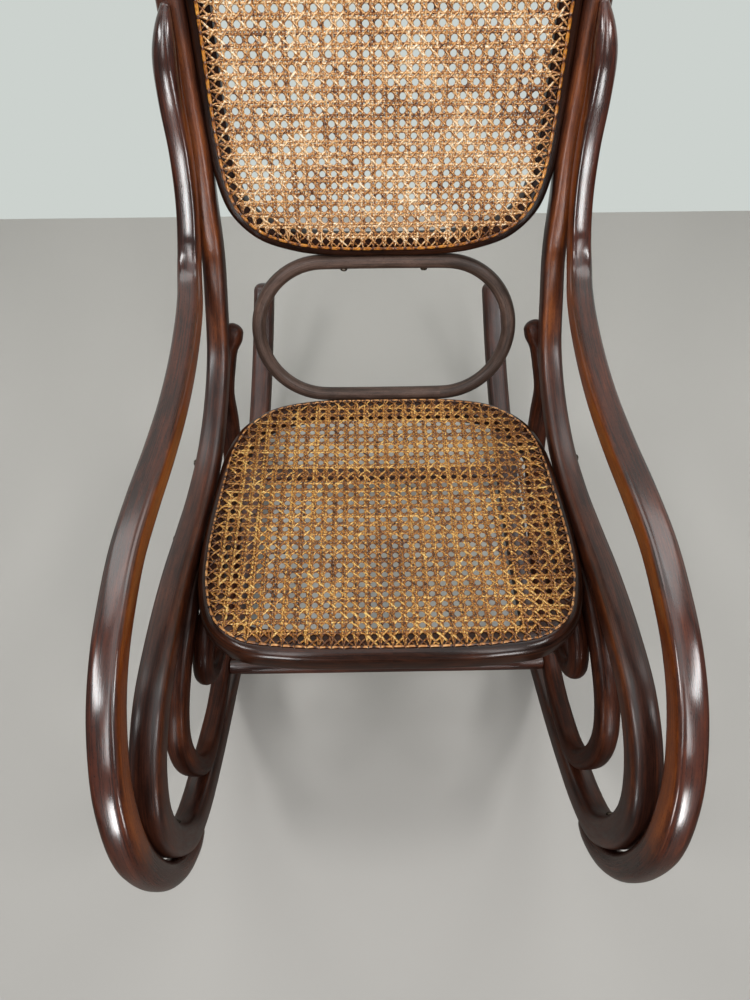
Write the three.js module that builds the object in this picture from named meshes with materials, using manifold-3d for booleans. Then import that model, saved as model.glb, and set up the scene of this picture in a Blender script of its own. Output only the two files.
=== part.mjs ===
import * as THREE from 'three';
import { mergeGeometries, mergeVertices } from 'three/addons/utils/BufferGeometryUtils.js';
import Module from 'manifold-3d';

const wasm = await Module();
wasm.setup();

// A bentwood rocking chair with a caned seat and back, in millimetres.
// x runs across the chair, y from the front to the rear, z up from the floor.
// Routes are written with y from a point above the front loops; the finished
// chair is centred over the origin at the end.

// Driving dimensions
const rockerRadius = 900;      // floor side of the runners
const restY = 421;             // where the runners touch the floor at rest
const wornFlat = 2.6;          // depth worn off the runners at that point
const runnerDia = 38;
const uprightDia = 27;
const armDia = 33;
const scrollDia = 27;
const curlDia = 23;
const hoopDia = 18;
const frontStretcherDia = 24;
const rearStretcherDia = 26;
const seatFront = { y: 181, z: 450 };
const seatSlope = 10.33;       // degrees, front higher
const seatDepth = 379;
const seatRim = { width: 32, height: 34 };
const backFoot = { y: 646.4, z: 538.2 };
const backLean = 20.44;        // degrees from upright
const backHeight = 460;
const backRim = { width: 24, depth: 22 };
const caneThickness = 2.1;
const caneGap = 0.3;
const seatMeshPitch = 27;
const backMeshPitch = 29;
const strandWidth = 9;
const screwHeadDia = 9;
const clearance = 0.4;

const darkBeech = { color: 0x3b1a12, roughness: 0.3, metalness: 0 };
const hoopBeech = { color: 0x2a1d18, roughness: 0.35, metalness: 0 };
const rattanCane = { color: 0xb9803a, roughness: 0.5, metalness: 0 };
const caneBinder = { color: 0xb06a22, roughness: 0.4, metalness: 0 };
const steelScrew = { color: 0x4c463f, roughness: 0.4, metalness: 1 };

const group = new THREE.Group();

function vec(x, y, z) {
  return new THREE.Vector3(x, y, z);
}

function addMesh(name, geometry, look, parent = group) {
  const mesh = new THREE.Mesh(geometry, new THREE.MeshStandardMaterial(look));
  mesh.name = name;
  parent.add(mesh);
  return mesh;
}

// Faces are turned to point out of the solid, whichever way its route ran.
function solidFrom(positions, index) {
  let volume = 0;
  const a = vec(0, 0, 0);
  const b = vec(0, 0, 0);
  const c = vec(0, 0, 0);
  for (let i = 0; i < index.length; i += 3) {
    a.fromArray(positions, index[i] * 3);
    b.fromArray(positions, index[i + 1] * 3);
    c.fromArray(positions, index[i + 2] * 3);
    volume += a.dot(b.cross(c));
  }
  if (volume < 0) {
    for (let i = 0; i < index.length; i += 3) {
      [index[i + 1], index[i + 2]] = [index[i + 2], index[i + 1]];
    }
  }
  const geometry = new THREE.BufferGeometry();
  geometry.setAttribute('position', new THREE.Float32BufferAttribute(positions, 3));
  geometry.setIndex(index);
  geometry.computeVertexNormals();
  return geometry;
}

// Stations along a route: closer together where it bends.
function stations(curve, count, longest, turn) {
  const found = [];
  for (let i = 0; i < count - 1; i += 1) {
    const from = i / (count - 1);
    const to = (i + 1) / (count - 1);
    const start = curve.getPoint(from);
    const end = curve.getPoint(to);
    const bend = curve.getTangent(from).angleTo(curve.getTangent(to));
    const steps = Math.max(1, Math.ceil(start.distanceTo(end) / longest), Math.ceil(bend / turn));
    for (let k = 0; k < steps; k += 1) {
      found.push(from + ((to - from) * k) / steps);
    }
  }
  found.push(1);
  return found;
}

// A bent rod along named points [x, y, z, diameter]. `across` is a direction the
// rod never runs along; it keeps the section from twisting. Ends: 'round' or 'flat'.
function rod(points, across, options = {}) {
  const { sides = 10, longest = 60, turn = 0.3, ends = ['round', 'round'], tension = 'centripetal' } = options;
  const curve = new THREE.CatmullRomCurve3(points.map((p) => vec(p[0], p[1], p[2])), false, tension);
  const radiusAt = (t) => {
    const place = Math.min(t * (points.length - 1), points.length - 1 - 1e-9);
    const i = Math.floor(place);
    return THREE.MathUtils.lerp(points[i][3], points[i + 1][3], place - i) / 2;
  };
  const rings = stations(curve, points.length, longest, turn).map((t) => ({
    centre: curve.getPoint(t),
    along: curve.getTangent(t).normalize(),
    radius: radiusAt(t),
  }));
  const first = rings[0];
  const last = rings[rings.length - 1];
  if (ends[0] === 'round') {
    rings.unshift(
      { centre: first.centre.clone().addScaledVector(first.along, -first.radius * 0.8), along: first.along,
        radius: first.radius * 0.5 },
      { centre: first.centre.clone().addScaledVector(first.along, -first.radius * 0.45), along: first.along,
        radius: first.radius * 0.87 },
    );
  }
  if (ends[1] === 'round') {
    rings.push(
      { centre: last.centre.clone().addScaledVector(last.along, last.radius * 0.45), along: last.along,
        radius: last.radius * 0.87 },
      { centre: last.centre.clone().addScaledVector(last.along, last.radius * 0.8), along: last.along,
        radius: last.radius * 0.5 },
    );
  }
  const positions = [];
  const index = [];
  const turnBy = sides % 4 === 0 ? Math.PI / sides : 0;
  for (const ring of rings) {
    const side = across.clone().addScaledVector(ring.along, -across.dot(ring.along)).normalize();
    const up = ring.along.clone().cross(side);
    for (let k = 0; k < sides; k += 1) {
      const angle = turnBy + (2 * Math.PI * k) / sides;
      const at = ring.centre.clone();
      at.addScaledVector(side, ring.radius * Math.cos(angle));
      at.addScaledVector(up, ring.radius * Math.sin(angle));
      positions.push(at.x, at.y, at.z);
    }
  }
  for (let r = 0; r < rings.length - 1; r += 1) {
    for (let k = 0; k < sides; k += 1) {
      const a = r * sides + k;
      const b = r * sides + ((k + 1) % sides);
      index.push(a, b, a + sides, b, b + sides, a + sides);
    }
  }
  const lastRing = (rings.length - 1) * sides;
  for (let k = 1; k < sides - 1; k += 1) {
    index.push(0, k + 1, k);
    index.push(lastRing, lastRing + k, lastRing + k + 1);
  }
  return solidFrom(positions, index);
}

// A closed frame: `section` points [inward from the outline, height] swept round it.
function hoopFrame(outline, section) {
  const positions = [];
  const index = [];
  const count = outline.length;
  const n = section.length;
  outline.forEach((p, i) => {
    const before = outline[(i + count - 1) % count];
    const after = outline[(i + 1) % count];
    const along = after.clone().sub(before).normalize();
    const inward = new THREE.Vector2(-along.y, along.x);
    for (const [depth, height] of section) {
      positions.push(p.x + inward.x * depth, p.y + inward.y * depth, height);
    }
  });
  for (let i = 0; i < count; i += 1) {
    const next = (i + 1) % count;
    for (let k = 0; k < n; k += 1) {
      const k2 = (k + 1) % n;
      index.push(i * n + k, i * n + k2, next * n + k, i * n + k2, next * n + k2, next * n + k);
    }
  }
  return solidFrom(positions, index);
}

// A closed outline, counter-clockwise, from its right half listed front to rear.
function closedOutline(half, count) {
  const mirrored = half.slice(1, -1).reverse().map(([x, y]) => [-x, y]);
  const points = [...half, ...mirrored].map(([x, y]) => vec(x, y, 0));
  const curve = new THREE.CatmullRomCurve3(points, true, 'centripetal');
  return curve.getSpacedPoints(count).slice(0, count).map((p) => new THREE.Vector2(p.x, p.y));
}

function inset(outline, distance) {
  const count = outline.length;
  return outline.map((p, i) => {
    const along = outline[(i + 1) % count].clone().sub(outline[(i + count - 1) % count]).normalize();
    return new THREE.Vector2(p.x - along.y * distance, p.y + along.x * distance);
  });
}

function inside(point, outline) {
  let within = false;
  for (let i = 0, j = outline.length - 1; i < outline.length; j = i, i += 1) {
    const a = outline[i];
    const b = outline[j];
    if (a.y > point.y !== b.y > point.y && point.x < ((b.x - a.x) * (point.y - a.y)) / (b.y - a.y) + a.x) {
      within = !within;
    }
  }
  return within;
}

function toManifold(geometry) {
  const bare = geometry.clone();
  bare.deleteAttribute('normal');
  bare.deleteAttribute('uv');
  const merged = mergeVertices(bare, 1e-4);
  return new wasm.Manifold(new wasm.Mesh({
    numProp: 3,
    vertProperties: new Float32Array(merged.attributes.position.array),
    triVerts: new Uint32Array(merged.index.array),
  }));
}

function fromManifold(solid) {
  const mesh = solid.getMesh();
  return solidFrom(Array.from(mesh.vertProperties), Array.from(mesh.triVerts));
}

// A cane web: a thin sheet over the frame, open between its strands where the frame is open.
function caneWeb(edge, opening, pitch, bottom) {
  const settings = { depth: caneThickness, bevelEnabled: false, steps: 1 };
  const sheet = new THREE.ExtrudeGeometry(new THREE.Shape(edge), settings);
  sheet.translate(0, 0, bottom);
  const half = (pitch - strandWidth) / 2;
  const reach = 20;
  const gaps = [];
  for (let i = -reach; i <= reach; i += 1) {
    for (let j = 0; j <= reach * 2; j += 1) {
      const x = i * pitch;
      const y = j * pitch;
      const corners = [[-1, -1], [-1, 1], [1, 1], [1, -1]];
      if (corners.every(([u, v]) => inside({ x: x + u * half, y: y + v * half }, opening))) {
        gaps.push(new THREE.BoxGeometry(half * 2, half * 2, 20).translate(x, y, 0));
      }
    }
  }
  return fromManifold(toManifold(sheet).subtract(toManifold(mergeGeometries(gaps))));
}

// Round-headed wood screw: the head, standing on the rod at `foot` and facing `out`.
function screw(name, foot, out, parent = group) {
  const r = screwHeadDia / 2;
  const profile = [[0, 0], [r, 0], [r * 0.94, r * 0.25], [r * 0.6, r * 0.5], [0, r * 0.62]];
  const geometry = new THREE.LatheGeometry(profile.map(([x, y]) => new THREE.Vector2(x, y)), 8);
  const mesh = addMesh(name, geometry, steelScrew, parent);
  const direction = vec(...out).normalize();
  mesh.quaternion.setFromUnitVectors(vec(0, 1, 0), direction);
  mesh.position.set(...foot).addScaledVector(direction, clearance);
  return mesh;
}

const acrossX = vec(1, 0, 0);

// The back's own plane: y up along it, z out of its front, x across.
const leanAngle = THREE.MathUtils.degToRad(backLean);
const backPlane = new THREE.Group();
backPlane.position.set(0, backFoot.y, backFoot.z);
backPlane.rotation.x = Math.PI / 2 - leanAngle;
group.add(backPlane);

function onBack(x, up, out) {
  return [
    x,
    backFoot.y + up * Math.sin(leanAngle) - out * Math.cos(leanAngle),
    backFoot.z + up * Math.cos(leanAngle) + out * Math.sin(leanAngle),
  ];
}

// The seat's own plane: y to the rear along it, z out of its top.
const slopeAngle = THREE.MathUtils.degToRad(seatSlope);
const seatPlane = new THREE.Group();
seatPlane.position.set(0, seatFront.y, seatFront.z);
seatPlane.rotation.x = -slopeAngle;
group.add(seatPlane);

// The runner: y and z on the rocking arc, toed in towards the tail.
function onArc(y) {
  const arc = rockerRadius - runnerDia / 2;
  const x = 254.6 - ((y - 243) / 695) * 40.6;
  return [x, y, rockerRadius - Math.sqrt(arc * arc - (y - restY) ** 2), runnerDia];
}

const splice = 332;            // height up the back where the uprights end
const uprightX = 209.5;
const uprightOut = -8;

function runnerUpright(side) {
  const route = [
    onArc(938), onArc(850), onArc(765), onArc(680), onArc(590), onArc(500),
    onArc(restY + 46), onArc(restY - 46),
    // front curl
    [248.5, 339, 24.2, 38], [249.6, 298.5, 34.5, 38], [251.6, 238.4, 60.4, 38], [251, 173.5, 101.2, 38],
    [249, 112.2, 150.2, 38], [246.8, 58.9, 198.8, 37],
    [245, 26, 246, 36], [242.6, 16, 300, 35.5], [240, 17, 352, 34.5], [237.9, 28.3, 398.7, 34],
    [236, 48, 431, 33.5], [235.2, 82, 455.5, 33], [234.8, 130.3, 467, 33], [235.5, 192, 456, 33],
    // along the seat's side
    [237, 268, 429.5, 32.5], [233.8, 330, 411, 32], [229.6, 385, 400, 31], [223.6, 452, 400, 30],
    // up beside the back
    [218, 519.6, 418.2, 29], [214, 576.4, 448.9, 28.5], [211, 618, 495, 28],
    [...onBack(uprightX, 2, uprightOut), uprightDia], [...onBack(uprightX, 70, uprightOut), uprightDia],
    [...onBack(uprightX, 190, uprightOut), uprightDia], [...onBack(uprightX, splice, uprightOut), uprightDia],
  ];
  const geometry = rod(route.map(([x, y, z, d]) => [side * x, y, z, d]), acrossX, { ends: ['round', 'flat'] });
  const place = geometry.attributes.position;
  for (let i = 0; i < place.count; i += 1) {
    if (place.getZ(i) < wornFlat) {
      place.setZ(i, wornFlat);
    }
  }
  return geometry;
}

function armBow(side) {
  const route = [
    // tongue lapped on the upright
    [210.8, 723, 778.4, 11], [213.8, 713.8, 766, 19], [216.2, 706.6, 753, 24.5], [218.2, 700, 739, 26.5],
    [219.9, 689.6, 707, 27], [219.2, 671.6, 662.7, 27], [223, 655.4, 612.6, 27.5],
    // waist and arm
    [229, 637, 570, 28.5], [231, 612, 549, 29.5], [228.5, 573.4, 540, 30.5], [228.7, 505, 534.4, 31],
    [231.7, 435.3, 535.4, 31.5], [237.5, 367.7, 541, 32.3], [244.7, 307.3, 546.8, armDia],
    [250.3, 252.6, 550, armDia], [252.1, 203.6, 549.6, armDia], [252.7, 160, 546, armDia],
    // front loop
    [252, 117.3, 536, armDia], [250.6, 83, 521, armDia], [249.2, 51, 499, armDia], [247.2, 22, 467, armDia],
    [246, 3, 434, armDia], [245.5, -8.5, 398, 32], [245.2, -16.6, 350, 31], [245, -17, 300, 29],
    // thinned end under the runner's curl
    [246, -6.9, 246, 26], [246.8, 12, 208.2, 22], [247, 22.4, 195.2, 18],
  ];
  return rod(route.map(([x, y, z, d]) => [side * x, y, z, d]), acrossX);
}

function scroll(side) {
  const route = [
    // knob behind the upright
    [198.6, 613, 445.5, 27], [201.5, 607.5, 441, 30], [207, 598.5, 431.5, 27], [211, 578, 417, 26],
    [214, 549, 399.5, scrollDia], [214, 533, 362, scrollDia],
    // under the seat
    [218, 512, 300, scrollDia], [226, 468, 232, scrollDia], [235, 405, 176, scrollDia],
    [242, 328, 138, scrollDia], [245, 243, 126, scrollDia], [245, 196, 138, scrollDia],
    // middle loop
    [244.5, 160, 157, scrollDia], [243, 124, 185, scrollDia], [241.8, 104, 217, scrollDia],
    [241, 98, 257, scrollDia], [240.4, 100, 300, scrollDia], [240, 112.4, 334.3, scrollDia],
    [238.5, 130.3, 358, scrollDia], [235.5, 158.2, 381, scrollDia], [231.5, 208.8, 399.8, 26.5],
    [229, 236, 403.5, 26], [228.6, 260, 401.5, 25.5],
  ];
  return rod(route.map(([x, y, z, d]) => [side * x, y, z, d]), acrossX, { sides: 8 });
}

function seatCurl(side) {
  const route = [
    [203.5, 262, 389.5, 21], [207.5, 236, 392, curlDia], [211.5, 206, 383, curlDia], [215, 187, 354, curlDia],
    [216, 194, 324, curlDia], [215, 224, 307, curlDia], [212, 262, 314, curlDia], [208, 302, 340, curlDia],
    [202, 334, 374, 21],
  ];
  return rod(route.map(([x, y, z, d]) => [side * x, y, z, d]), acrossX, { sides: 8 });
}

const sideNames = [['left', -1], ['right', 1]];
for (const [name, side] of sideNames) {
  addMesh(`${name}_runner_upright`, runnerUpright(side), darkBeech);
  addMesh(`${name}_arm_bow`, armBow(side), darkBeech);
  addMesh(`${name}_scroll`, scroll(side), darkBeech);
  addMesh(`${name}_seat_curl`, seatCurl(side), darkBeech);
}

// Seat
const seatOutline = closedOutline([
  [0, -5.5], [110, -3], [165, 7], [198, 34], [213, 78], [217, 125], [213, 210], [205, 285], [188, 328],
  [152, 361], [95, 376], [0, seatDepth],
], 44);
const seatSection = [
  [0, -9], [7, 0], [seatRim.width - 2, 0], [seatRim.width, -3], [seatRim.width, 3 - seatRim.height],
  [seatRim.width - 3, -seatRim.height], [7, -seatRim.height], [0, 8 - seatRim.height],
];
addMesh('seat_frame', hoopFrame(seatOutline, seatSection), darkBeech, seatPlane);
addMesh('seat_cane_binding', hoopFrame(seatOutline, [
  [9.5, caneGap], [10.5, 2.4], [13.5, 2.4], [14.5, caneGap],
]), caneBinder, seatPlane);
const seatWebEdge = inset(seatOutline, 15);
const seatOpening = inset(seatOutline, seatRim.width + 1);
addMesh('seat_cane', caneWeb(seatWebEdge, seatOpening, seatMeshPitch, caneGap), rattanCane, seatPlane);

// Back
const backOutline = closedOutline([
  [0, 0], [60, 1], [108, 7], [152, 23], [180, 52], [191, 88], [194.5, 135], [194.5, 230], [194.5, 325],
  [191, 375], [178, 416], [146, 446], [100, 457], [50, backHeight], [0, backHeight],
], 48);
const backSection = [
  [0, -5], [4, 0], [backRim.width - 2, 0], [backRim.width, -2], [backRim.width, 2 - backRim.depth],
  [backRim.width - 2, -backRim.depth], [4, -backRim.depth], [0, 5 - backRim.depth],
];
addMesh('back_frame', hoopFrame(backOutline, backSection), darkBeech, backPlane);
addMesh('back_cane_binding', hoopFrame(backOutline, [
  [9, caneGap], [10, 2.4], [13, 2.4], [14, caneGap],
]), caneBinder, backPlane);
const backWebEdge = inset(backOutline, 14.5);
const backOpening = inset(backOutline, backRim.width + 1);
addMesh('back_cane', caneWeb(backWebEdge, backOpening, backMeshPitch, caneGap), rattanCane, backPlane);

// Top bow over the back frame, on the uprights' ends
const bowHalf = [
  [uprightX, splice + clearance], [uprightX, 385], [203, 424], [180, 454], [142, 470], [90, 475.5],
];
const bowRoute = [
  ...bowHalf.map(([x, y]) => [x, y, uprightOut, uprightDia]),
  [0, 477, uprightOut, uprightDia],
  ...bowHalf.slice().reverse().map(([x, y]) => [-x, y, uprightOut, uprightDia]),
];
addMesh('top_bow', rod(bowRoute, vec(0, 0, 1), { ends: ['flat', 'flat'] }), darkBeech, backPlane);

// Oval hoop between the seat's rear rail and the foot of the back frame
const hoopFoot = vec(0, 560.8, 378);
const hoopHead = vec(0, 653.3, 525.2);
const hoopRise = hoopHead.clone().sub(hoopFoot);
const hoopPlane = new THREE.Group();
hoopPlane.position.copy(hoopFoot);
hoopPlane.rotation.x = Math.atan2(hoopRise.z, hoopRise.y);
group.add(hoopPlane);
const hoopHeight = hoopRise.length();
const hoopEnd = hoopHeight / 2;
const hoopStraight = 76;
const hoopOutline = [];
for (let k = 0; k <= 12; k += 1) {
  const angle = -Math.PI / 2 + (Math.PI * k) / 12;
  hoopOutline.push(new THREE.Vector2(
    hoopStraight + hoopEnd * Math.cos(angle), hoopEnd + hoopEnd * Math.sin(angle)));
}
for (let k = 0; k <= 12; k += 1) {
  const angle = Math.PI / 2 + (Math.PI * k) / 12;
  hoopOutline.push(new THREE.Vector2(
    -hoopStraight + hoopEnd * Math.cos(angle), hoopEnd + hoopEnd * Math.sin(angle)));
}
const hoopSection = [];
for (let k = 0; k < 8; k += 1) {
  const angle = ((k + 0.5) * Math.PI) / 4;
  hoopSection.push([(hoopDia / 2) * Math.cos(angle), (hoopDia / 2) * Math.sin(angle)]);
}
addMesh('oval_hoop', hoopFrame(hoopOutline, hoopSection), hoopBeech, hoopPlane);

// Stretchers
function stretcher(name, halfLength, y, z, diameter) {
  const route = [[-halfLength, y, z, diameter], [0, y, z, diameter], [halfLength, y, z, diameter]];
  addMesh(name, rod(route, vec(0, 0, 1), { ends: ['flat', 'flat'], longest: 300, sides: 8 }), darkBeech);
}
const stretcherEnd = 245 - scrollDia / 2 - clearance;
stretcher('front_stretcher', stretcherEnd, 250, 126, frontStretcherDia);
const rearPlace = onArc(624);
stretcher('rear_stretcher', rearPlace[0] - runnerDia / 2 - clearance - 0.8, rearPlace[1], rearPlace[2],
  rearStretcherDia);

// Screws
for (const [name, side] of sideNames) {
  screw(`${name}_seat_screw_front`, [side * (233.8 + 16.4), 330, 411], [side, 0, 0]);
  screw(`${name}_seat_screw_rear`, [side * (225 + 15.6), 440, 399.5], [side, 0, 0]);
  screw(`${name}_arm_front_screw`, [side * 242.6, 16 + 18, 300], [0, 1, 0]);
  screw(`${name}_arm_top_screw`, [side * uprightX, 210, uprightOut - uprightDia / 2], [0, 0, -1], backPlane);
  screw(`${name}_scroll_runner_screw`, [side * 249, 99.5, 136.5], [0, -0.68, -0.73]);
  screw(`${name}_scroll_rear_screw`, [side * 211.8, 578.8, 401.6], [0, 0.5, -0.87]);
  screw(`${name}_curl_screw`, [side * (215 - 7), 219, 298], [-0.6 * side, -0.35, -0.72]);
  screw(`${name}_front_stretcher_screw`, [side * (245 + scrollDia / 2), 250, 126], [side, 0, 0]);
  screw(`${name}_rear_stretcher_screw`, [side * (rearPlace[0] + runnerDia / 2 + 0.3), 624, rearPlace[2]], [side, 0, 0]);
  screw(`${name}_back_screw`, [side * (uprightX + uprightDia / 2), 300, uprightOut], [side, 0, 0], backPlane);
  screw(`${name}_bow_screw`, [side * (uprightX + uprightDia / 2), 365, uprightOut], [side, 0, 0], backPlane);
  screw(`${name}_hoop_foot_screw`, [side * 50, 0, -hoopDia / 2], [0, 0, -1], hoopPlane);
  screw(`${name}_hoop_head_screw`, [side * 50, hoopHeight - hoopDia / 2, 0], [0, -1, 0], hoopPlane);
}

// Centred over the origin, standing on z = 0
group.updateMatrixWorld(true);
const bounds = new THREE.Box3().setFromObject(group, true);
group.position.set(0, -(bounds.min.y + bounds.max.y) / 2, -bounds.min.z);
group.updateMatrixWorld(true);

export default group;
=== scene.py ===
import math
from functools import partial

import bpy
import numpy as np
from mathutils import Matrix, Vector


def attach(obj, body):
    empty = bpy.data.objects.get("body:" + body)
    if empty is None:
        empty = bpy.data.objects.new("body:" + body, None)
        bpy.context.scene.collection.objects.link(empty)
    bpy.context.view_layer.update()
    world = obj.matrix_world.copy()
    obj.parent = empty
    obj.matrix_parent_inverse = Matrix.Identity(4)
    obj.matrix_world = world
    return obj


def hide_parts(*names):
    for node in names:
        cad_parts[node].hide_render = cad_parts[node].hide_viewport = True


# Bentwood rocking chair: steam-bent beech rods, a woven cane seat and back.
# Routes are in millimetres, y measured from below the camera, z from the floor.

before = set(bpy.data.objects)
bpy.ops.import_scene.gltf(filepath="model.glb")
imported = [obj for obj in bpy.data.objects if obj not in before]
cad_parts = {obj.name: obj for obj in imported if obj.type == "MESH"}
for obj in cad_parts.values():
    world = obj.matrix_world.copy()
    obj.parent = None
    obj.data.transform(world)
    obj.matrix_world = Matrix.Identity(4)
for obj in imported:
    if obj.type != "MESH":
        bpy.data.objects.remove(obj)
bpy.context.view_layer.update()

routeToChair = Vector((0.0, -462.25, -2.6))  # moves a route into the chair's own frame
mm = 0.001


def linear(hexColour):
    parts = [int(hexColour[i:i + 2], 16) / 255 for i in (1, 3, 5)]
    return tuple(c / 12.92 if c <= 0.04045 else ((c + 0.055) / 1.055) ** 2.4 for c in parts) + (1.0,)


# Adds a node. Settings are the node's own, or its operation alone. Inputs are in the sockets' order
# or named. Each is a value, a socket of another node, a node, which stands for its first socket, or
# a list of them.
def addNode(tree, kind, settings=None, inputs=()):
    node = tree.nodes.new(kind)
    if isinstance(settings, str):
        settings = {"operation": settings}
    for key, value in (settings or {}).items():
        if key == "stops":
            ramp = node.color_ramp
            while len(ramp.elements) < len(value):
                ramp.elements.new(0.5)
            for element, (position, colour) in zip(ramp.elements, value):
                element.position, element.color = position, linear(colour)
        else:
            setattr(node, key, value)
    for key, value in inputs.items() if isinstance(inputs, dict) else enumerate(inputs):
        for source in value if isinstance(value, list) else [value]:
            if isinstance(source, bpy.types.Node):
                source = source.outputs[0]
            if isinstance(source, bpy.types.NodeSocket):
                tree.links.new(source, node.inputs[key])
            else:
                node.inputs[key].default_value = source
    return node


def newMaterial(name):
    material = bpy.data.materials.new(name)
    material.use_nodes = True
    material.node_tree.nodes.clear()
    return material, partial(addNode, material.node_tree)


# Noise stretched along a rod or strand: `scale` is its waves in a metre, each way.
def stretchedNoise(add, place, scale, detail, roughness=0.6):
    stretched = add("ShaderNodeMapping", inputs={"Vector": place, "Scale": scale})
    return add("ShaderNodeTexNoise", inputs={
        "Vector": stretched, "Scale": 1.0, "Detail": detail, "Roughness": roughness})


# Steam-bent beech under dark brown stain and shellac: fine lengthwise grain that follows the
# bend, uneven stain, ray flecks, a hard gloss, and amber wood where hands have polished it.
def beechMaterial(name, look):
    material, add = newMaterial(name)
    spot = add("ShaderNodeAttribute", {"attribute_name": "rodPlace"}).outputs["Vector"]
    worn = add("ShaderNodeAttribute", {"attribute_name": "wear"}).outputs["Fac"]
    # grain 1 mm wide and 100 mm long, stain taken up in blots of 8 by 40 mm, darker and lighter
    # lengths of 40 by 150 mm, ray flecks of 3 mm by half a millimetre
    streak = stretchedNoise(add, spot, (9.0, 850.0, 850.0), 4.0)
    mottle = stretchedNoise(add, spot, (26.0, 130.0, 130.0), 6.0, 0.7)
    patch = stretchedNoise(add, spot, (7.0, 26.0, 26.0), 3.0, 0.55)
    fleck = stretchedNoise(add, spot, (330.0, 2000.0, 2000.0), 1.0, 0.5)
    fleckMask = add("ShaderNodeMapRange", inputs={"Value": fleck, "From Min": 0.6, "From Max": 0.75})
    grain = add("ShaderNodeMath", "MULTIPLY_ADD", [streak, 0.5, -0.22])
    blots = add("ShaderNodeMath", "MULTIPLY_ADD", [mottle, 0.5, grain])
    tone = add("ShaderNodeMath", "MULTIPLY_ADD", [patch, 0.45, blots])
    stain = add("ShaderNodeValToRGB", {"stops": look["stain"]}, [tone])
    amber = add("ShaderNodeValToRGB", {"stops": look["worn"]}, [tone])
    rubbed = add("ShaderNodeMath", "MULTIPLY_ADD", [mottle, 1.2, -0.6])
    wornSum = add("ShaderNodeMath", "ADD", [worn, rubbed])
    wornFar = add("ShaderNodeMapRange", {"interpolation_type": "SMOOTHSTEP"}, {
        "Value": wornSum, "From Min": 0.1, "From Max": 0.9})
    wornMask = add("ShaderNodeMath", "MULTIPLY", [wornFar, worn])
    wood = add("ShaderNodeMix", {"data_type": "RGBA"}, {0: wornMask, 6: stain, 7: amber})
    flecked = add("ShaderNodeMix", {"data_type": "RGBA", "blend_type": "MULTIPLY"}, {
        0: fleckMask, 6: wood.outputs[2], 7: linear("#9a7a6c")})
    # the shellac is thinner and duller in places
    rough = add("ShaderNodeMapRange", inputs={
        "Value": mottle, "From Min": 0.3, "From Max": 0.7, "To Min": look["roughness"][0],
        "To Max": look["roughness"][1]})
    bump = add("ShaderNodeBump", inputs={"Strength": 0.1, "Distance": 0.0004, "Height": streak})
    dents = add("ShaderNodeBump", inputs={
        "Strength": 0.08, "Distance": 0.0006, "Height": mottle, "Normal": bump})
    shader = add("ShaderNodeBsdfPrincipled", inputs={
        "Base Color": flecked.outputs[2], "Roughness": rough, "Normal": dents, "Coat Normal": dents,
        "Specular IOR Level": look["shine"], "Coat Weight": look["coat"], "Coat Roughness": look["gloss"],
        "Coat IOR": look["film"]})
    add("ShaderNodeOutputMaterial", inputs={"Surface": shader})
    return material


rubbedAmber = [(0.25, "#471c08"), (0.5, "#7c3b0d"), (0.8, "#ab5c18")]
rimAmber = [(0.25, "#4a1f09"), (0.5, "#7c3d0e"), (0.8, "#a85c1a")]
rodBeech = beechMaterial("shellacked dark beech", {
    "stain": [(0.28, "#0e0504"), (0.45, "#2d140c"), (0.6, "#4a2415"), (0.8, "#703a21")],
    "worn": rubbedAmber,
    "roughness": (0.3, 0.48), "shine": 0.3, "coat": 0.65, "gloss": 0.26, "film": 1.5})
scrollBeech = beechMaterial("shellacked dark beech, dull", {
    "stain": [(0.28, "#0d0403"), (0.45, "#29120a"), (0.6, "#432012"), (0.8, "#66331d")],
    "worn": rubbedAmber,
    "roughness": (0.32, 0.5), "shine": 0.1, "coat": 0.12, "gloss": 0.2, "film": 1.5})
armBeech = beechMaterial("shellacked dark beech, polished by hands", {
    "stain": [(0.28, "#0e0403"), (0.45, "#2d1108"), (0.6, "#4b1f0e"), (0.8, "#743819")],
    "worn": rubbedAmber,
    "roughness": (0.3, 0.45), "shine": 0.1, "coat": 1.0, "gloss": 0.17, "film": 1.65})
rimBeech = beechMaterial("dark beech rim, satin", {
    "stain": [(0.28, "#080302"), (0.45, "#190c07"), (0.6, "#2d160c"), (0.8, "#4b2a18")],
    "worn": rimAmber,
    "roughness": (0.24, 0.4), "shine": 0.05, "coat": 0.12, "gloss": 0.1, "film": 1.5})
seatBeech = beechMaterial("dark beech seat rim, rubbed bright", {
    "stain": [(0.28, "#0b0403"), (0.45, "#211009"), (0.6, "#3a1d10"), (0.8, "#5d351f")],
    "worn": rimAmber,
    "roughness": (0.28, 0.42), "shine": 0.05, "coat": 0.6, "gloss": 0.17, "film": 1.5})
hoopBeech = beechMaterial("near-black beech, satin", {
    "stain": [(0.28, "#1b1513"), (0.45, "#3b2e27"), (0.6, "#5b473e"), (0.8, "#7a6455")],
    "worn": [(0.25, "#2a1c17"), (0.5, "#453027"), (0.8, "#604637")],
    "roughness": (0.38, 0.52), "shine": 0.25, "coat": 0.05, "gloss": 0.2, "film": 1.5})
print("beech materials ready")


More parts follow.
